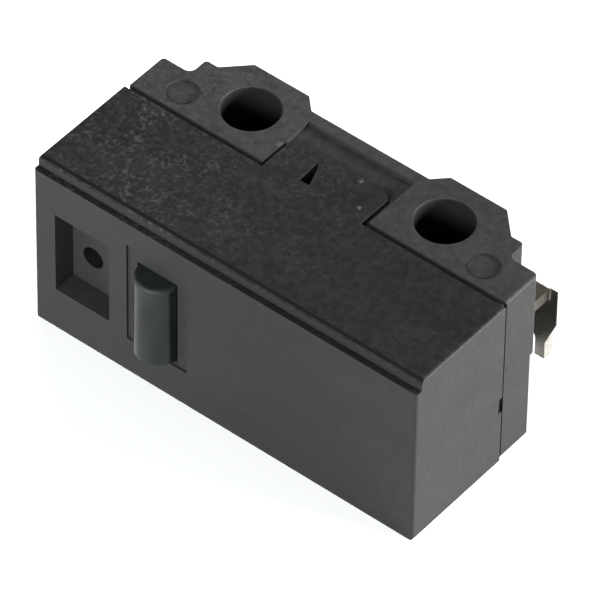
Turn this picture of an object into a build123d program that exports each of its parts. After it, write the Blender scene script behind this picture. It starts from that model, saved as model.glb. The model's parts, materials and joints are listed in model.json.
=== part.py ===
"""Micro switch: a snap-action switch with a pin plunger, two mounting holes and three bent solder legs.

Millimetres. X runs along the case, Y from the plunger face back to the terminals, Z along the mounting holes.
The origin is midway between the two hole axes, on the large side face that the switch lies on.
Distances called "behind" are measured from the plunger face towards the terminals.
"""
import os
from build123d import *

os.makedirs("parts", exist_ok=True)

# Case
length, depth, thickness = 12.8, 6.45, 5.8
hole_spacing, hole_r, hole_break = 6.5, 0.82, 0.03
half, mid_z = length / 2, thickness / 2
hole_from_back, seam_to_hole, cavity_deep = 1.35, 1.45, 2.65
hole_behind = depth - hole_from_back
seam = hole_behind - seam_to_hole  # the cover ends and the base begins this far behind the plunger face
front_wall, end_wall, side_wall = seam - cavity_deep, 0.8, 0.75
lip_h, lip_deep, lip_break = 0.34, 0.2, 0.12  # the step along the cover's upper front edge
end_r, corner_r, seam_break = 0.1, 0.08, 0.03
seam_gap_w, seam_gap_deep = 0.15, 0.08  # the groove that is left between the cover and the base

# Plunger, and the shallow panel round its opening
plunger_from_end, plunger_low, plunger_w, plunger_h = 4.15, 0.15, 1.3, 2.84
plunger_x, plunger_z = plunger_from_end - half, mid_z - plunger_low
protrusion, slide_gap, seat_gap, nose_edge = 0.57, 0.03, 0.01, 0.12
panel_right, panel_raise, panel_w, panel_h, panel_deep = 0.025, 0.04, 2.05, 3.48, 0.07
panel_x, panel_z = plunger_x + panel_right, mid_z + panel_raise
flange_w, flange_h, flange_t = 1.9, 3.5, 0.4
foot_w, foot_h, foot_z = 0.5, 0.65, 1.1

# Lever pocket in the plunger face, with its blind pivot hole, and the block of the cover behind it
pocket_from_end, pocket_low, pocket_w, pocket_h = 1.625, 0.08, 1.85, 2.77
pocket_x, pocket_z, pocket_deep = pocket_from_end - half, mid_z - pocket_low, 0.72 * front_wall
pivot_left, pivot_low, pivot_r, pivot_deep = 0.225, 0.4, 0.33, 0.4
pivot_x, pivot_z = pocket_x - pivot_left, mid_z - pivot_low
pocket_back_t, pocket_back_side = 0.35, 0.2
pocket_back, pocket_back_right = front_wall + pocket_back_t, pocket_x + pocket_w / 2 + pocket_back_side

# Snap tongue of the cover, on both side faces, the shallow recess of the base round it, and the pit it lies in
tongue_t, tongue_from_back, tongue_left, tongue_right, tongue_root = 0.45, 1.53, -1.68, 1.62, 0.5
tongue_end, tongue_corner = depth - tongue_from_back, 0.14
slit_left, slit_tip, slit_right, slit_front, slit_back = -0.64, -0.56, -0.28, 0.21, 0.24
slit_from, slit_to = seam + slit_front, tongue_end - slit_back
recess_from_back, recess_half, recess_deep, pit_gap, pit_under = 0.75, 1.78, 0.14, 0.04, 0.02
recess_end = depth - recess_from_back
ridge_left, ridge_right, ridge_back, ridge_w, ridge_h, ridge_gap = -0.2, 0.6, 0.1, 0.3, 0.12, 0.03
ridge_from, ridge_to = tongue_end - ridge_back - ridge_w, tongue_end - ridge_back

# Pry notch in the cover's edge at each end
pry_low, pry_h, pry_deep, pry_back = 0.97, 0.53, 0.14, 0.14

# Base: the right half of its back outline, then the rim that enters the cover
base_in, valley_deep, shelf_deep, end_deep, low_end_step, low_end_raise = 0.08, 0.4, 0.69, 1.33, 0.22, 0.1
base_half, valley, shelf = half - base_in, depth - valley_deep, depth - shelf_deep
end_back, low_end_top = depth - end_deep, mid_z + low_end_raise
low_end_back = end_back - low_end_step
lobe_in, lobe_out, shelf_in, shelf_w = 0.87, 0.99, 0.99, 0.41
lobe_inner, lobe_outer = hole_spacing / 2 - lobe_in, hole_spacing / 2 + lobe_out
shelf_outer, valley_edge = base_half - shelf_in, lobe_inner - valley_deep
shelf_inner = shelf_outer - shelf_w
scallop_r, outline_r, outline_end_r = 0.22, 0.1, 0.16
rim_enter, rim_t, rim_gap = 0.52, 0.45, 0.03
rim_front = seam - rim_enter
end_land = half - hole_spacing / 2 - hole_r  # the flat between a mounting hole and the end
mark_front, mark_deep = 0.67, 0.06
mark_x, mark_behind, mark_r = half - 0.587 * end_land, end_back - mark_front, 0.204 * end_land

# Stamped sheet of the terminals, and their legs outside the base
sheet, sheet_drop, leg_from_end, leg_behind, strip_clear = 0.37, 0.08, 1.32, 0.57, 0.2
sheet_low, pitch, leg_front = mid_z - sheet_drop, half - leg_from_end, depth + leg_behind
leg_half, leg_tip_half, leg_shoulder, waist_below, leg_tip_z = 0.51, 0.16, 0.95, 1.85, 0.45
leg_shoulder_z, leg_waist_z, neck_half, bend_r = mid_z - leg_shoulder, mid_z - waist_below, 0.26, 0.12
strip_back = hole_behind - hole_r - strip_clear  # strips in the base pass in front of the mounting holes
sheet_high = sheet_low + sheet

# Snap blade
end_inside = half - end_wall  # the end walls of the cavity are this far off the middle
blade_t, blade_w, blade_r, blade_to_seam, blade_left_gap, blade_right_gap = 0.08, 3.2, 0.4, 1.51, 0.3, 0.65
blade_left, blade_right = blade_left_gap - end_inside, end_inside - blade_right_gap
blade_front = seam - blade_to_seam
blade_back = blade_front + blade_t

# The two posts of the common terminal, with a notch each for the blade and for its spring
post_w, post_in, post_rise, post_step, post_low, notch_deep, notch_gap = 0.5, 0.25, 0.21, 1.43, 0.49, 0.12, 0.02
post_one_left, post_one_top = blade_left + post_in, blade_front - post_rise
post_two_left, post_two_top = post_one_left + post_step, blade_front + post_low
slot_bite, slot_back, slot_side = 0.01, 0.2, 0.05  # the blade's slot for the first post

# Contacts, and the terminal tabs that carry them
contact_in, contact_r, shank_r, button_h, contact_gap = 0.6, 0.5, 0.25, 0.3, 0.48
tab_half, tab_h, riser_gap = 0.62, 2.0, 0.07
contact_x, riser_left = blade_right - contact_in, end_inside - riser_gap - sheet
tab_left, tab_right = contact_x - tab_half, contact_x + tab_half

# The blade's window, and the bowed spring tongue inside it
window_before, window_after, window_w, spring_w, spring_bite, spring_free = 0.28, 1.75, 1.7, 1.3, 0.05, 0.04
window_left, window_right = post_two_left - window_before, contact_x - window_after
spring_root, spring_end = window_right + spring_bite, post_two_left + post_w - notch_deep + spring_free
spring_drop, spring_bow = 0.69, 0.85
spring_end_behind, spring_mid_behind = blade_front + spring_drop, blade_front + spring_bow
spring_mid = (spring_root + spring_end) / 2


def y(behind):
    """Row Y of a distance behind the plunger face."""
    return behind - hole_behind


def block(x0, x1, y0, y1, z0, z1, mode=Mode.ADD):
    """A box between two X, two distances behind the plunger face, and two Z."""
    with Locations(((x0 + x1) / 2, y((y0 + y1) / 2), (z0 + z1) / 2)):
        Box(x1 - x0, y1 - y0, z1 - z0, mode=mode)


def slab(x, z, w, h, y0, y1, mode=Mode.ADD):
    """A box centred on X and Z, between two distances behind the plunger face."""
    block(x - w / 2, x + w / 2, y0, y1, z - h / 2, z + h / 2, mode)


def disc(x, z, radius, y0, y1, mode=Mode.ADD):
    """A round bar along Y between two distances behind the plunger face."""
    with Locations(Location((x, y((y0 + y1) / 2), z), (90, 0, 0))):
        Cylinder(radius, y1 - y0, mode=mode)


def bend_edges(part):
    """The inner edges of a leg's bend, where its neck turns down."""
    return [
        e for e in part.edges().filter_by(Axis.X)
        if abs((e @ 0.5).Y - y(leg_front)) < 0.01 and abs((e @ 0.5).Z - sheet_low) < 0.01
    ]


def round_ends(end, y0, y1):
    """Round the edges along Y where the two side faces meet the ends, which are this far off the middle."""
    with BuildSketch(Plane.XZ.offset(-y(y1))) as face:
        with Locations((0, mid_z)):
            RectangleRounded(2 * end, thickness, end_r)
    extrude(face.sketch, amount=y1 - y0, mode=Mode.INTERSECT)


def corner_at(sketch, x, behind):
    """The corner of an outline at this X and this far behind the plunger face."""
    return [v for v in sketch.vertices() if abs(v.X - x) < 0.01 and abs(v.Y - y(behind)) < 0.01]


def leg(x):
    """A terminal's neck through the base, and the leg that hangs from it and narrows to a blunt tip."""
    block(x - neck_half, x + neck_half, seam, leg_front + sheet, sheet_low, sheet_high)
    with BuildSketch(Plane.XZ.offset(-y(leg_front))) as plate:
        with BuildLine():
            Polyline(
                (x - leg_half, sheet_high), (x + leg_half, sheet_high), (x + leg_half, leg_shoulder_z),
                (x + leg_tip_half, leg_waist_z), (x + leg_tip_half, leg_tip_z), (x - leg_tip_half, leg_tip_z),
                (x - leg_tip_half, leg_waist_z), (x - leg_half, leg_shoulder_z), close=True,
            )
        make_face()
    extrude(plate.sketch, amount=-sheet)


def strip(x0, x1):
    """A strip of terminal sheet along the front of the base."""
    block(x0, x1, seam, strip_back, sheet_low, sheet_high)


tongue_corners = [
    (tongue_left, y(seam - tongue_root)), (tongue_left, y(tongue_end - tongue_corner)),
    (tongue_left + tongue_corner, y(tongue_end)), (tongue_right - tongue_corner, y(tongue_end)),
    (tongue_right, y(tongue_end - tongue_corner)), (tongue_right, y(seam - tongue_root)),
]

# Cover: the front shell, with the plunger's opening, the lever pocket and the snap tongues
with BuildPart() as cover:
    with BuildSketch(Plane.YZ.offset(-half)):
        with BuildLine():
            Polyline(
                (y(0), 0), (y(seam - seam_break), 0), (y(seam), seam_break),
                (y(seam), thickness - seam_break), (y(seam - seam_break), thickness),
                (y(lip_deep + lip_break), thickness), (y(lip_deep), thickness - lip_break),
                (y(lip_deep), thickness - lip_h), (y(0), thickness - lip_h), close=True,
            )
        make_face()
    extrude(amount=length)
    round_ends(half, 0, seam)
    with BuildSketch() as footprint:
        with Locations((0, y(seam / 2))):
            Rectangle(length, seam)
        fillet(footprint.vertices().group_by(Axis.Y)[0], corner_r)
    extrude(amount=thickness, mode=Mode.INTERSECT)
    for low in (0, thickness - tongue_t):
        with BuildSketch(Plane.XY.offset(low)):
            with BuildLine():
                Polyline(*tongue_corners, close=True)
            make_face()
            with BuildLine():
                Polyline(
                    (slit_left, y(slit_from)), (slit_right, y(slit_from)),
                    (slit_tip, y(slit_to)), (slit_left, y(slit_to)), close=True,
                )
            make_face(mode=Mode.SUBTRACT)
        extrude(amount=tongue_t)
    for z0, z1 in ((tongue_t, tongue_t + ridge_h), (thickness - tongue_t - ridge_h, thickness - tongue_t)):
        block(ridge_left, ridge_right, ridge_from, ridge_to, z0, z1)
    block(-end_inside, end_inside, front_wall, seam, side_wall, thickness - side_wall, Mode.SUBTRACT)
    block(-end_inside, pocket_back_right, front_wall, pocket_back, side_wall, thickness - side_wall)
    slab(pocket_x, pocket_z, pocket_w, pocket_h, 0, pocket_deep, Mode.SUBTRACT)
    disc(pivot_x, pivot_z, pivot_r, pocket_deep, pocket_deep + pivot_deep, Mode.SUBTRACT)
    slab(panel_x, panel_z, panel_w, panel_h, 0, panel_deep, Mode.SUBTRACT)
    opening_w, opening_h = plunger_w + 2 * slide_gap, plunger_h + 2 * slide_gap
    slab(plunger_x, plunger_z, opening_w, opening_h, 0, front_wall, Mode.SUBTRACT)
    for x in (-half, half - pry_deep):
        block(x, x + pry_deep, seam - pry_back, seam, mid_z - pry_low, mid_z - pry_low + pry_h, Mode.SUBTRACT)
cover.part.label = "cover"
export_step(cover.part, "parts/cover.step")

# Plunger: a round-nosed bar, a flange that stops it behind the front wall, and two feet on the blade's rails
nose_r = plunger_w / 2
flange_front = front_wall + seat_gap
with BuildPart() as plunger:
    slab(plunger_x, plunger_z, plunger_w, plunger_h, nose_r - protrusion, flange_front)
    with Locations(Location((plunger_x, y(nose_r - protrusion), plunger_z), (0, 0, 180))):
        Cylinder(nose_r, plunger_h, arc_size=180, align=(Align.CENTER, Align.MIN, Align.CENTER))
    fillet(plunger.edges().filter_by(GeomType.CIRCLE), nose_edge)
    slab(plunger_x, mid_z, flange_w, flange_h, flange_front, flange_front + flange_t)
    for side in (-1, 1):
        slab(plunger_x, mid_z + side * foot_z, foot_w, foot_h, flange_front + flange_t, blade_front - seat_gap)
plunger.part.label = "plunger"
export_step(plunger.part, "parts/plunger.step")

# Common terminal: one leg, and two posts that hold the blade and its spring
post_one_right, post_two_right = post_one_left + post_w, post_two_left + post_w
with BuildPart() as common_terminal:
    leg(-pitch)
    strip(-pitch - neck_half, post_two_right)
    block(post_one_left, post_one_right, post_one_top, seam, sheet_low, sheet_high)
    block(post_two_left, post_two_right, post_two_top, seam, sheet_low, sheet_high)
    block(post_one_left, post_one_left + notch_deep, blade_front - notch_gap, blade_back + notch_gap,
          sheet_low, sheet_high, Mode.SUBTRACT)
    block(post_two_right - notch_deep, post_two_right, spring_end_behind - notch_gap,
          spring_end_behind + blade_t + notch_gap, sheet_low, sheet_high, Mode.SUBTRACT)
    fillet(bend_edges(common_terminal.part), bend_r)
common_terminal.part.label = "common_terminal"
export_step(common_terminal.part, "parts/common_terminal.step")

# Normally closed contact level: its face meets the moving contact at rest
closed_face = blade_front - button_h
closed_tab = closed_face - button_h
tab_low, tab_high = mid_z - tab_h / 2, mid_z + tab_h / 2
with BuildPart() as closed_terminal:
    leg(pitch)
    block(riser_left, riser_left + sheet, closed_tab - sheet, strip_back + sheet, tab_low, tab_high)
    block(tab_left, riser_left + sheet, closed_tab - sheet, closed_tab, tab_low, tab_high)
    disc(contact_x, mid_z, shank_r, closed_tab - sheet, closed_tab, Mode.SUBTRACT)
    fillet(bend_edges(closed_terminal.part), bend_r)
closed_terminal.part.label = "normally_closed_terminal"
export_step(closed_terminal.part, "parts/normally_closed_terminal.step")

with BuildPart() as closed_contact:
    disc(contact_x, mid_z, contact_r, closed_tab, closed_face)
    disc(contact_x, mid_z, shank_r, closed_tab - sheet, closed_tab)
closed_contact.part.label = "normally_closed_contact"
export_step(closed_contact.part, "parts/normally_closed_contact.step")

# Normally open contact level: a gap behind the moving contact
moving_back = blade_back + button_h
open_face = moving_back + contact_gap
open_tab = open_face + button_h
with BuildPart() as open_terminal:
    leg(0)
    strip(-neck_half, contact_x)
    block(tab_left, tab_right, open_tab, seam, tab_low, tab_high)
    disc(contact_x, mid_z, shank_r, open_tab, seam, Mode.SUBTRACT)
    fillet(bend_edges(open_terminal.part), bend_r)
open_terminal.part.label = "normally_open_terminal"
export_step(open_terminal.part, "parts/normally_open_terminal.step")

with BuildPart() as open_contact:
    disc(contact_x, mid_z, contact_r, open_face, open_tab)
    disc(contact_x, mid_z, shank_r, open_tab, seam)
open_contact.part.label = "normally_open_contact"
export_step(open_contact.part, "parts/normally_open_contact.step")

# Snap blade: one leaf with a slot for the first post and a bowed tongue whose end bears on the second
with BuildPart() as snap_blade:
    block(blade_left, blade_right, blade_front, blade_back, mid_z - blade_w / 2, mid_z + blade_w / 2)
    fillet(snap_blade.edges().filter_by(Axis.Y), blade_r)
    slab((window_left + window_right) / 2, mid_z, window_right - window_left, window_w,
         blade_front, blade_back, Mode.SUBTRACT)
    block(post_one_left + notch_deep - slot_bite, post_one_right + slot_back, blade_front, blade_back,
          sheet_low - slot_side, sheet_high + slot_side, Mode.SUBTRACT)
    disc(contact_x, mid_z, shank_r, blade_front, blade_back, Mode.SUBTRACT)
    with BuildSketch(Plane.XY.offset(mid_z - spring_w / 2)):
        with BuildLine():
            tip_y, bow_y = y(spring_end_behind), y(spring_mid_behind)
            front = ThreePointArc((spring_root, y(blade_front)), (spring_mid, bow_y), (spring_end, tip_y))
            end = Line(front @ 1, (spring_end, tip_y + blade_t))
            back = ThreePointArc(end @ 1, (spring_mid, bow_y + blade_t), (spring_root, y(blade_back)))
            Line(back @ 1, front @ 0)
        make_face()
    extrude(amount=spring_w)
snap_blade.part.label = "snap_blade"
export_step(snap_blade.part, "parts/snap_blade.step")

with BuildPart() as moving_contact:
    disc(contact_x, mid_z, contact_r, closed_face, blade_front)
    disc(contact_x, mid_z, shank_r, blade_front, blade_back)
    disc(contact_x, mid_z, contact_r, blade_back, moving_back)
moving_contact.part.label = "moving_contact"
export_step(moving_contact.part, "parts/moving_contact.step")

# Base: the rear body, moulded round the three terminals
with BuildPart() as base:
    with BuildSketch() as outline:
        with BuildLine():
            Polyline(
                (0, y(seam)), (0, y(valley)), (valley_edge, y(valley)), (lobe_inner, y(depth)),
                (lobe_outer, y(depth)), (shelf_inner, y(shelf)), (shelf_outer, y(shelf)),
                (shelf_outer, y(end_back)), (base_half, y(end_back)), (base_half, y(seam)), close=True,
            )
        make_face()
        fillet(corner_at(outline, shelf_outer, end_back), scallop_r)
        fillet(corner_at(outline, base_half, end_back), outline_end_r)
        fillet([v for v in outline.vertices() if v.X > 0.01 and v.Y > y(shelf) - 0.01], outline_r)
        mirror(about=Plane.YZ)
    extrude(amount=thickness)
    round_ends(base_half, seam, depth)
    with BuildSketch(Plane.XZ.offset(-y(seam + seam_gap_w))):
        with Locations((0, mid_z)):
            Rectangle(length, thickness)
            Rectangle(2 * (base_half - seam_gap_deep), thickness - 2 * seam_gap_deep, mode=Mode.SUBTRACT)
    extrude(amount=seam_gap_w, mode=Mode.SUBTRACT)
    for z0, z1 in ((0, recess_deep), (thickness - recess_deep, thickness)):
        block(-recess_half, recess_half, seam, recess_end, z0, z1, Mode.SUBTRACT)
    for z0 in (0, thickness - tongue_t - pit_under):
        with BuildSketch(Plane.XY.offset(z0)):
            with BuildLine():
                Polyline(*tongue_corners, close=True)
            make_face()
            offset(amount=pit_gap, kind=Kind.INTERSECTION)
        extrude(amount=tongue_t + pit_under, mode=Mode.SUBTRACT)
    groove = tongue_t + ridge_h + ridge_gap
    for z0, z1 in ((tongue_t, groove), (thickness - groove, thickness - tongue_t)):
        block(ridge_left - ridge_gap, ridge_right + ridge_gap, ridge_from - ridge_gap, ridge_to + ridge_gap,
              z0, z1, Mode.SUBTRACT)
    for x0, x1 in ((-half, -shelf_outer), (shelf_outer, half)):
        block(x0, x1, low_end_back, depth, 0, low_end_top, Mode.SUBTRACT)
    for side in (-1, 1):
        with Locations((side * mark_x, y(mark_behind), thickness - mark_deep / 2)):
            Cylinder(mark_r, mark_deep, mode=Mode.SUBTRACT)
    rim_half = end_inside - rim_gap
    rim_low, rim_high = side_wall + rim_gap, thickness - side_wall - rim_gap
    block(-rim_half, rim_half, rim_front, seam, rim_low, rim_high)
    block(rim_t - rim_half, rim_half - rim_t, rim_front, seam, rim_low + rim_t, rim_high - rim_t, Mode.SUBTRACT)
    with Locations(*((side * hole_spacing / 2, 0, mid_z) for side in (-1, 1))):
        Cylinder(hole_r, thickness, mode=Mode.SUBTRACT)
    chamfer(base.edges().filter_by(GeomType.CIRCLE).filter_by(
        lambda e: abs(e.radius - hole_r) < 0.01), hole_break)
    for terminal in (common_terminal, open_terminal, closed_terminal):
        add(terminal.part, mode=Mode.SUBTRACT)
base.part.label = "base"
export_step(base.part, "parts/base.step")
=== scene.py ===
import json
import math

import bpy
import numpy as np
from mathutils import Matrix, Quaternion, Vector


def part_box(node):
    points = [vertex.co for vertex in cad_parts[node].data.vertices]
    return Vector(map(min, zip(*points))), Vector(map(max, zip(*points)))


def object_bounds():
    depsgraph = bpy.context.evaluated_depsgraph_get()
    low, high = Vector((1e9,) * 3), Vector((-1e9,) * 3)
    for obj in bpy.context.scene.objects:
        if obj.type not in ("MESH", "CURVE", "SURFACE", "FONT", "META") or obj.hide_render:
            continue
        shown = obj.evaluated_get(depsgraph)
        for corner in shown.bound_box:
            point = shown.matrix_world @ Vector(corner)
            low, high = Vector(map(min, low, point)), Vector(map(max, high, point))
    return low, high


mm = 0.001

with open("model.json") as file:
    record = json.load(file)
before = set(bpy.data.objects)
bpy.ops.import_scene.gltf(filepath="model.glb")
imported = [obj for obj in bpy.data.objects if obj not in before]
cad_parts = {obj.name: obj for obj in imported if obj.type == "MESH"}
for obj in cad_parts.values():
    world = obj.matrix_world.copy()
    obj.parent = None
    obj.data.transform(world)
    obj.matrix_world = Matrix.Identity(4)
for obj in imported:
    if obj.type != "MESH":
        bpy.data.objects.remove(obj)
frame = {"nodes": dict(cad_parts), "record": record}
nodes = frame["nodes"]
cadLow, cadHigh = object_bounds()
caseLow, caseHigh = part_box("cover")
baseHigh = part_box("base")[1]
print("frame loaded:", len(nodes), "nodes")

plasticIor = 1.5
spotCore = 0.35  # the full middle of a spot, as a share of its radius


# a socket that takes part in plain expressions: each operator adds its Math node
class Wire:
    def __init__(self, graph, socket):
        self.graph, self.socket = graph, socket

    def maths(self, operation, *values):
        return self.graph.node("ShaderNodeMath", {"operation": operation}, dict(enumerate(values)))

    def __add__(self, other):
        return self.maths("ADD", self, other)

    def __sub__(self, other):
        return self.maths("SUBTRACT", self, other)

    def __rsub__(self, other):
        return self.maths("SUBTRACT", other, self)

    def __mul__(self, other):
        return self.maths("MULTIPLY", self, other)

    def __pow__(self, other):
        return self.maths("POWER", self, other)

    def __abs__(self):
        return self.maths("ABSOLUTE", self)

    __radd__, __rmul__ = __add__, __mul__

    def most(self, other):
        return self.maths("MAXIMUM", self, other)

    # 0 below low, 1 above high, a smooth step between them
    def step(self, low, high):
        settings = {"interpolation_type": "SMOOTHSTEP"}
        values = {"Value": self, "From Min": low, "From Max": high}
        return self.graph.node("ShaderNodeMapRange", settings, values)


# a material, with wires for a point's place and for the way that its face looks
class Graph:
    def __init__(self, name, fixed):
        self.material = bpy.data.materials.new(name)
        self.material.use_nodes = True
        self.tree = self.material.node_tree
        self.shader = next(n for n in self.tree.nodes if n.type == "BSDF_PRINCIPLED")
        for key, value in fixed.items():
            self.shader.inputs[key].default_value = value
        coords = self.tree.nodes.new("ShaderNodeTexCoord")
        self.place = Wire(self, coords.outputs["Object"])
        self.x, self.y, self.z = (self.part(self.place, axis) for axis in range(3))
        facing = Wire(self, coords.outputs["Normal"])
        self.backward, self.upright = (self.part(facing, axis) for axis in (1, 2))  # facing +Y and +Z

    # any node: its type, its settings, its sockets' values or wires, and which output is wanted
    def node(self, kind, settings, inputs, out=0):
        made = self.tree.nodes.new(kind)
        for key, value in settings.items():
            setattr(made, key, value)
        for key, value in inputs.items():
            if isinstance(value, Wire):
                self.tree.links.new(value.socket, made.inputs[key])
            else:
                made.inputs[key].default_value = value
        return Wire(self, made.outputs[out])

    # X, Y or Z of a vector, by its number
    def part(self, vector, axis):
        return self.node("ShaderNodeSeparateXYZ", {}, {0: vector}, axis)

    def into(self, key, wire):
        self.tree.links.new(wire.socket, self.shader.inputs[key])

    # noise between 0 and 1; size is the width of its blotches in metres, stretch widens it along an axis
    def noise(self, size, detail=2.0, roughness=0.5, stretch=(1, 1, 1), offset=(0, 0, 0)):
        scale = tuple(1 / (size * s) for s in stretch)
        spot = self.node("ShaderNodeMapping", {}, {"Vector": self.place, "Scale": scale, "Location": offset})
        values = {"Vector": spot, "Scale": 1.0, "Detail": detail, "Roughness": roughness}
        return self.node("ShaderNodeTexNoise", {}, values)

    # a colour mix: sockets 0, 6 and 7 of the Mix node are its factor and two colours, output 2 the result
    def blend(self, mask, first, second):
        first, second = (c if isinstance(c, Wire) else (*c, 1) for c in (first, second))
        return self.node("ShaderNodeMix", {"data_type": "RGBA"}, {0: mask, 6: first, 7: second}, 2)

    def bump(self, height, deep):
        values = {"Height": height, "Distance": deep, "Strength": 1.0}
        self.into("Normal", self.node("ShaderNodeBump", {}, values))

    # distance from the line through point along one of the three axes
    def fromAxis(self, point, axis):
        flat = tuple(1 - abs(a) for a in axis)
        apart = self.node("ShaderNodeVectorMath", {"operation": "SUBTRACT"}, {0: self.place, 1: point})
        across = self.node("ShaderNodeVectorMath", {"operation": "MULTIPLY"}, {0: apart, 1: flat})
        return self.node("ShaderNodeVectorMath", {"operation": "LENGTH"}, {0: across}, 1)

    # 1 at a spot, 0 beyond its radius
    def spot(self, centre, radius):
        apart = self.node("ShaderNodeVectorMath", {"operation": "DISTANCE"}, {0: self.place, 1: centre}, 1)
        return 1 - apart.step(radius * spotCore, radius)


# runs from the first limit to the second as amount runs from 0 to 1
def between(limits, amount):
    low, high = limits
    return low + (high - low) * amount


def dress(material, *names):
    for name in names:
        mesh = nodes[name].data
        mesh.materials.clear()
        mesh.materials.append(material)


# Black moulded plastic of the cover and the base. A pair is where a mask starts and where it is full, along
# a noise, a face's tilt (1 is flat on) or a distance, and under rough it is the smoothest and the roughest.
casePlastic = {
    "specular": 0.07,
    "dark": (0.0138, 0.0142, 0.0140),  # dark and light are the smooth narrow faces
    "light": (0.0220, 0.0227, 0.0224),
    "streak": (0.1, 0.9),
    "farEnd": (1.5 * mm, 9.0 * mm),  # darker, streakier and with fewer flecks towards the high X end, fully so this far along
    "farDarker": 0.25,
    "farCleaner": 0.8,
    "wideDarkPaintedLight": (0.0072, 0.0070, 0.0071),  # these two are the ends of the spark-texture mottle on the wide faces; their level is painted shade, well under the narrow faces, standing in for the dim light on the cover's top
    "wideLightPaintedLight": (0.0172, 0.0167, 0.0168),
    "wideTilt": (0.35, 0.65),
    "wideDepth": (0.5 * mm, 0.4 * mm),  # the spark texture ends this far below a wide face
    "tone": (0.36, 0.64),
    "mottle": 0.21 * mm,
    "grain": 0.04 * mm,
    "grainDeep": 0.0025 * mm,
    "flow": 1.6 * mm,
    "fleck": (0.046, 0.044, 0.044),
    "fleckSize": 0.12 * mm,
    "fleckEdge": (0.46, 0.76),
    "dust": 1.1 * mm,  # the flecks lie in clouds of this size
    "dustEdge": (0.35, 0.65),
    "lipShade": (0.001, 0.001, 0.001),  # painted shade: a dark line on the broken edge above the cover's step
    "lipTilt": (0.45, 0.6),
    "lipFlat": (0.85, 0.97),
    "lipDrop": (0.08 * mm, 0.06 * mm),
    "lipBack": (0.34 * mm, 0.38 * mm),
    "bore": (0.009, 0.0085, 0.0085),  # painted shade: the walls of the holes are painted dark and plain, standing in for the shade inside them
    "boreEdge": (0.005 * mm, 0.03 * mm),
    "scuff": (0.075, 0.075, 0.07),
    "scuffGrain": 0.05 * mm,
    "scuffEdge": (0.35, 0.6),
    "rough": (0.46, 0.60),
    "roughEdge": (0.3, 0.7),
}
basePlastic = {
    **casePlastic,
    "dark": (0.0145, 0.0144, 0.0140),
    "light": (0.0235, 0.0233, 0.0227),
    # the base's wide faces are set lighter than its narrow faces: painted light on the base's top
    "wideDarkPaintedLight": (0.0192, 0.0187, 0.0183),
    "wideLightPaintedLight": (0.0355, 0.0345, 0.0336),
    "rough": (0.50, 0.64),
}
midZ = (caseLow.z + caseHigh.z) / 2
halfZ = (caseHigh.z - caseLow.z) / 2
top = caseHigh.z
mounts = frame["record"]["mounts"]
bores = [(m["pos_m"], m["axis"], m["dims"]["r_mm"] * mm) for m in mounts if m["kind"] == "bore"]

# small light scuffs, each a centre and a radius
coverScuffs = [
    ((0.66 * mm, -0.25 * mm, top), 0.10 * mm),
    ((1.25 * mm, -1.05 * mm, top), 0.10 * mm),
    ((-5.4 * mm, -1.8 * mm, top), 0.07 * mm),
]
baseScuffs = [((-1.82 * mm, -0.55 * mm, top), 0.12 * mm)]


def mouldedPlastic(name, look, scuffs):
    g = Graph(name, {"Specular IOR Level": look["specular"], "IOR": plasticIor})
    mottle = g.noise(look["mottle"], detail=3.0, roughness=0.62)
    grain = g.noise(look["grain"], roughness=0.6)
    flow = g.noise(look["flow"], stretch=(3.0, 1.0, 0.6), offset=(3, 1, 2))
    tone = (mottle * 0.55 + grain * 0.25 + flow * 0.2).step(*look["tone"])
    rimFrom, rimTo = look["wideDepth"]
    wide = abs(g.upright).step(*look["wideTilt"]) * abs(g.z - midZ).step(halfZ - rimFrom, halfZ - rimTo)
    farEnd = (g.x - caseLow.x).step(*look["farEnd"])
    swirl = mottle * 0.3 + flow * 0.7
    smooth = g.blend((farEnd * 0.4 + swirl * 0.6).step(*look["streak"]), look["light"], look["dark"])
    # the wide faces' real mottle, at a level of painted light and shade
    sparkWithPaintedLight = g.blend(tone * (1 - farEnd * look["farDarker"]), look["wideDarkPaintedLight"], look["wideLightPaintedLight"])
    colour = g.blend(wide, smooth, sparkWithPaintedLight)

    dusty = g.noise(look["dust"], offset=(5, 8, 2)).step(*look["dustEdge"])
    flecks = g.noise(look["fleckSize"], roughness=0.6, offset=(2, 6, 4)).step(*look["fleckEdge"])
    flecks = flecks * (0.3 + dusty * 0.7) * wide * (1 - farEnd * look["farCleaner"])
    colour = g.blend(flecks, colour, look["fleck"])

    # painted shade along the broken edge of the cover's lip
    slope = abs(g.upright).step(*look["lipTilt"]) * (1 - abs(g.upright).step(*look["lipFlat"]))
    lipFrom, lipTo = look["lipDrop"]
    lipShadeMask = slope * g.z.step(top - lipFrom, top - lipTo) * (1 - (g.y - caseLow.y).step(*look["lipBack"]))
    colour = g.blend(lipShadeMask, colour, look["lipShade"])

    wallFrom, wallTo = look["boreEdge"]
    # painted shade on the walls of the holes
    for point, axis, radius in bores:
        boreShadeMask = 1 - g.fromAxis(point, axis).step(radius + wallFrom, radius + wallTo)
        colour = g.blend(boreShadeMask, colour, look["bore"])

    worn = None
    for centre, radius in scuffs:
        mask = g.spot(centre, radius)
        worn = mask if worn is None else worn.most(mask)
    worn = worn * g.noise(look["scuffGrain"], roughness=0.7).step(*look["scuffEdge"])
    g.into("Base Color", g.blend(worn, colour, look["scuff"]))
    g.into("Roughness", between(look["rough"], (mottle * 0.5 + grain * 0.5).step(*look["roughEdge"])))
    g.bump(grain * 0.7 + mottle * 0.3, look["grainDeep"])
    return g.material


dress(mouldedPlastic("coverPlastic", casePlastic, coverScuffs), "cover")
dress(mouldedPlastic("basePlastic", basePlastic, baseScuffs), "base")
print("case plastic done")


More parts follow.
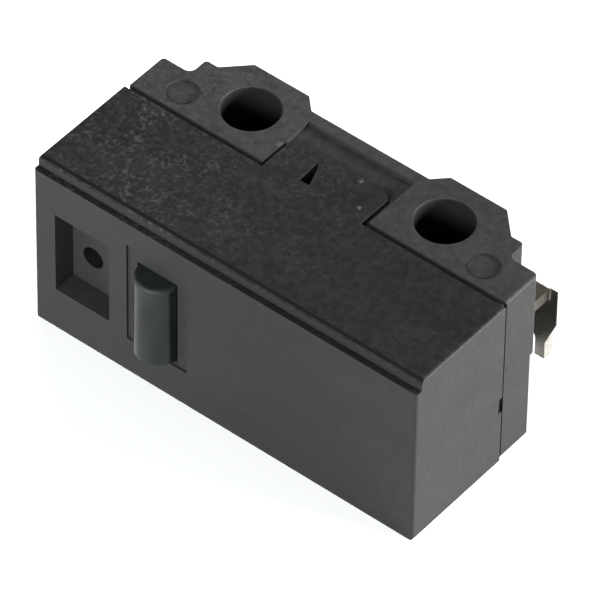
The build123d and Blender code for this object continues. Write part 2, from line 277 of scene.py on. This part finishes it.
# smoother grey-green plastic of the plunger
plungerPlastic = {
    "specular": 0.30,
    "dark": (0.003, 0.0042, 0.0039),
    "light": (0.006, 0.0084, 0.0078),
    "cloud": 0.5 * mm,
    "cloudEdge": (0.35, 0.65),
    "nose": (0.010, 0.012, 0.0115),  # rubbed where a finger or a lever touches it
    "noseDeep": 0.10 * mm,
    "rub": 0.5,
    "rubEdge": (0.35, 0.6),
    "rough": (0.16, 0.26),
    "rimRough": 0.40,  # the tool left the rounded ends of the nose matt
    "rimTilt": (0.05, 0.30),
    "drag": 0.05 * mm,
    "dragDeep": 0.0015 * mm,
}


def plungerFinish(look):
    g = Graph("plungerPlastic", {"Specular IOR Level": look["specular"], "IOR": plasticIor})
    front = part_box("plunger")[0].y
    drag = g.noise(look["drag"], stretch=(1, 1, 14))
    cloud = g.noise(look["cloud"], stretch=(1, 1, 2), offset=(1, 4, 2))
    colour = g.blend((drag * 0.4 + cloud * 0.6).step(*look["cloudEdge"]), look["dark"], look["light"])
    nose = 1 - (g.y - front).step(0.0, look["noseDeep"])
    rubbed = nose * cloud.step(*look["rubEdge"]) * look["rub"]
    g.into("Base Color", g.blend(rubbed, colour, look["nose"]))
    rim = abs(g.upright).step(*look["rimTilt"])
    g.into("Roughness", between(look["rough"], drag) + rim * look["rimRough"])
    g.bump(drag, look["dragDeep"])
    return g.material


dress(plungerFinish(plungerPlastic), "plunger")
print("plunger done")


# silver-plated sheet of the terminals
plating = {
    "bright": (0.72, 0.71, 0.67),
    "dull": (0.45, 0.44, 0.39),
    "cloud": 0.45 * mm,
    "cloudEdge": (0.35, 0.68),
    "tarnish": (0.17, 0.16, 0.12),
    "spot": 0.12 * mm,
    "spotEdge": (0.58, 0.70),
    "spotFull": 0.55,
    "spotRough": 0.12,
    "paintedShade": (0.060, 0.056, 0.045),  # painted shade: the neck by the moulding, and the leg's side that faces the case, painted dark
    "neck": 0.53 * mm,
    "neckFade": 0.03 * mm,
    "neckRough": 0.2,
    "innerTilt": (0.3, 0.8),
    "innerFull": 0.8,
    "rough": (0.16, 0.32),
    "fine": 0.035 * mm,
    "shear": 0.022 * mm,  # drag lines of the punch, through the sheet
    "shearDeep": 0.0016 * mm,
}


def platedSheet(look):
    g = Graph("silverPlating", {"Metallic": 1.0})
    cloud = g.noise(look["cloud"], detail=3.0, roughness=0.6)
    fine = g.noise(look["fine"])
    shear = g.noise(look["shear"], roughness=0.6, stretch=(1, 12, 1), offset=(5, 2, 1))
    colour = g.blend(cloud.step(*look["cloudEdge"]), look["bright"], look["dull"])
    spots = g.noise(look["spot"], detail=3.0, roughness=0.65, offset=(7, 3, 5)).step(*look["spotEdge"])
    colour = g.blend(spots * look["spotFull"], colour, look["tarnish"])
    # painted shade on the neck and on the side that faces the case
    reach, fade = look["neck"], look["neckFade"]
    neck = 1 - (g.y - baseHigh.y).step(reach - fade, reach + fade)
    caseFacingShade = (g.backward * -1).step(*look["innerTilt"])
    g.into("Base Color", g.blend(neck.most(caseFacingShade * look["innerFull"]), colour, look["paintedShade"]))
    matt = between(look["rough"], cloud * 0.5 + fine * 0.5) + spots * look["spotRough"]
    g.into("Roughness", matt + neck * look["neckRough"])
    g.bump(shear * 0.6 + fine * 0.4, look["shearDeep"])
    return g.material


dress(platedSheet(plating), "common_terminal", "normally_open_terminal", "normally_closed_terminal")
print("terminals done")


# rolled copper alloy of the snap blade
leaf = {
    "copper": (0.78, 0.46, 0.26),
    "straw": (0.62, 0.40, 0.20),
    "cloud": 0.9 * mm,
    "cloudEdge": (0.35, 0.65),
    "line": 0.018 * mm,  # rolling lines run along the leaf
    "lineDeep": 0.001 * mm,
    "rough": (0.22, 0.36),
}


def rolledLeaf(look):
    g = Graph("bladeCopper", {"Metallic": 1.0})
    lines = g.noise(look["line"], roughness=0.55, stretch=(40, 1, 1))
    cloud = g.noise(look["cloud"])
    mask = (cloud * 0.6 + lines * 0.4).step(*look["cloudEdge"])
    g.into("Base Color", g.blend(mask, look["copper"], look["straw"]))
    g.into("Roughness", between(look["rough"], lines))
    g.bump(lines, look["lineDeep"])
    return g.material


dress(rolledLeaf(leaf), "snap_blade")
print("blade done")


# silver alloy rivets: turned rings about the rivet's own axis, duller in the middle where the faces meet
rivet = {
    "silver": (0.90, 0.89, 0.86),
    "struck": (0.55, 0.53, 0.50),
    "struckWide": (0.08 * mm, 0.26 * mm),
    "struckGrain": 0.08 * mm,
    "struckEdge": (0.3, 0.6),
    "struckRough": 0.2,
    "ring": 0.03 * mm,
    "ringDeep": 0.0012 * mm,
    "fine": 0.03 * mm,
    "rough": (0.16, 0.32),
}


def turnedRivet(name, look, centre):
    g = Graph(name, {"Metallic": 1.0})
    out = ((g.x - centre.x) ** 2.0 + (g.z - centre.z) ** 2.0) ** 0.5
    rings = out.maths("SINE", out * (2 * math.pi / look["ring"])) * 0.5 + 0.5
    turned = rings * 0.5 + g.noise(look["fine"], roughness=0.6) * 0.5
    patches = g.noise(look["struckGrain"], detail=3.0, roughness=0.6).step(*look["struckEdge"])
    struck = (1 - out.step(*look["struckWide"])) * patches
    g.into("Base Color", g.blend(struck, look["silver"], look["struck"]))
    g.into("Roughness", between(look["rough"], turned) + struck * look["struckRough"])
    g.bump(turned, look["ringDeep"])
    return g.material


for name in ("moving_contact", "normally_open_contact", "normally_closed_contact"):
    low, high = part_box(name)
    dress(turnedRivet(name + "Silver", rivet, (low + high) / 2), name)
print("contacts done")


# floor, light and camera
studio = {
    "floor": (0.90, 0.90, 0.90),
    "floorShade": 0.985,  # the darker blotches, as a share of the floor's colour
    "floorBlotch": 0.3 * mm,
    "floorRough": 0.9,
    "floorSpecular": 0.1,
    "floorHalf": 0.6,
    "floorDrop": 0.002 * mm,
    "world": (0.29, 0.29, 0.29),
    "eye": (38.514, 45.606, 0.200),  # degrees round, degrees up, metres away
    "roll": 0.957,  # degrees
    "target": (0.0, -2.6 * mm, 2.9 * mm),
    "aim": (0.443 * mm, -0.078 * mm),  # the middle of the view, right of the target and above it
    "lens": 458.64,
    "sensor": 36,
    "clip": 0.01,
    "lit": (0, 0, 3 * mm),  # what every lamp points at
    "lights": {  # place, width, power and colour
        "front": ((0.04, -0.32, 0.14), 0.16, 2.5, (0.965, 1.0, 0.99)),
        "frontLeft": ((-0.28, -0.20, 0.05), 0.08, 0.7, (1, 1, 1)),
        "rightEnd": ((0.30, 0.16, 0.05), 0.16, 7.6, (1, 0.99, 0.99)),
        "backRight": ((0.14, 0.34, 0.14), 0.16, 0.5, (1, 1, 1)),
        "sky": ((-0.15, 0.19, 0.25), 0.16, 0.16, (1, 1, 1)),
    },
}


# a flat square grid at one height: u and v run from -1 to 1, and each point is (u, v) times the half width
def flatGrid(name, half, count, height):
    u, v = np.meshgrid(np.linspace(-1, 1, count), np.linspace(-1, 1, count), indexing="ij")
    points = np.stack([u * half, v * half, np.full_like(u, height)], -1).reshape(-1, 3)
    i = (np.arange(count - 1)[:, None] * count + np.arange(count - 1)).ravel()
    faces = np.stack([i, i + count, i + count + 1, i + 1], -1)
    mesh = bpy.data.meshes.new(name)
    mesh.from_pydata(points.tolist(), [], faces.tolist())
    made = bpy.data.objects.new(name, mesh)
    bpy.context.scene.collection.objects.link(made)
    return made


floor = flatGrid("floor", studio["floorHalf"], count=3, height=cadLow.z - studio["floorDrop"])
g = Graph("paleFloor", {"Roughness": studio["floorRough"], "Specular IOR Level": studio["floorSpecular"]})
paper = g.noise(studio["floorBlotch"], detail=3.0, roughness=0.6)
shade = tuple(c * studio["floorShade"] for c in studio["floor"])
g.into("Base Color", g.blend(paper, studio["floor"], shade))
floor.data.materials.append(g.material)

for name, (place, size, power, tint) in studio["lights"].items():
    data = bpy.data.lights.new(name, "AREA")
    data.shape, data.size, data.energy, data.color = "DISK", size, power, tint
    lamp = bpy.data.objects.new(name, data)
    lamp.location = place
    lamp.rotation_euler = (Vector(studio["lit"]) - Vector(place)).to_track_quat("-Z", "Y").to_euler()
    bpy.context.scene.collection.objects.link(lamp)

world = bpy.data.worlds.new("softRoom")
world.use_nodes = True
world.node_tree.nodes["Background"].inputs["Color"].default_value = (*studio["world"], 1)
bpy.context.scene.world = world

about, up, away = studio["eye"]
about, up = math.radians(about), math.radians(up)
toEye = Vector((math.sin(about) * math.cos(up), -math.cos(about) * math.cos(up), math.sin(up)))
turn = toEye.to_track_quat("Z", "Y") @ Quaternion((0, 0, 1), math.radians(studio["roll"]))
right, above = turn @ Vector((1, 0, 0)), turn @ Vector((0, 1, 0))
aimRight, aimUp = studio["aim"]
lens = bpy.data.cameras.new("camera")
lens.lens, lens.sensor_width, lens.clip_start = studio["lens"], studio["sensor"], studio["clip"]
camera = bpy.data.objects.new("camera", lens)
camera.location = Vector(studio["target"]) + right * aimRight + above * aimUp + toEye * away
camera.rotation_euler = turn.to_euler()
bpy.context.scene.collection.objects.link(camera)
bpy.context.scene.camera = camera
bpy.context.scene.view_settings.view_transform = "Standard"
print("floor, light and camera done")
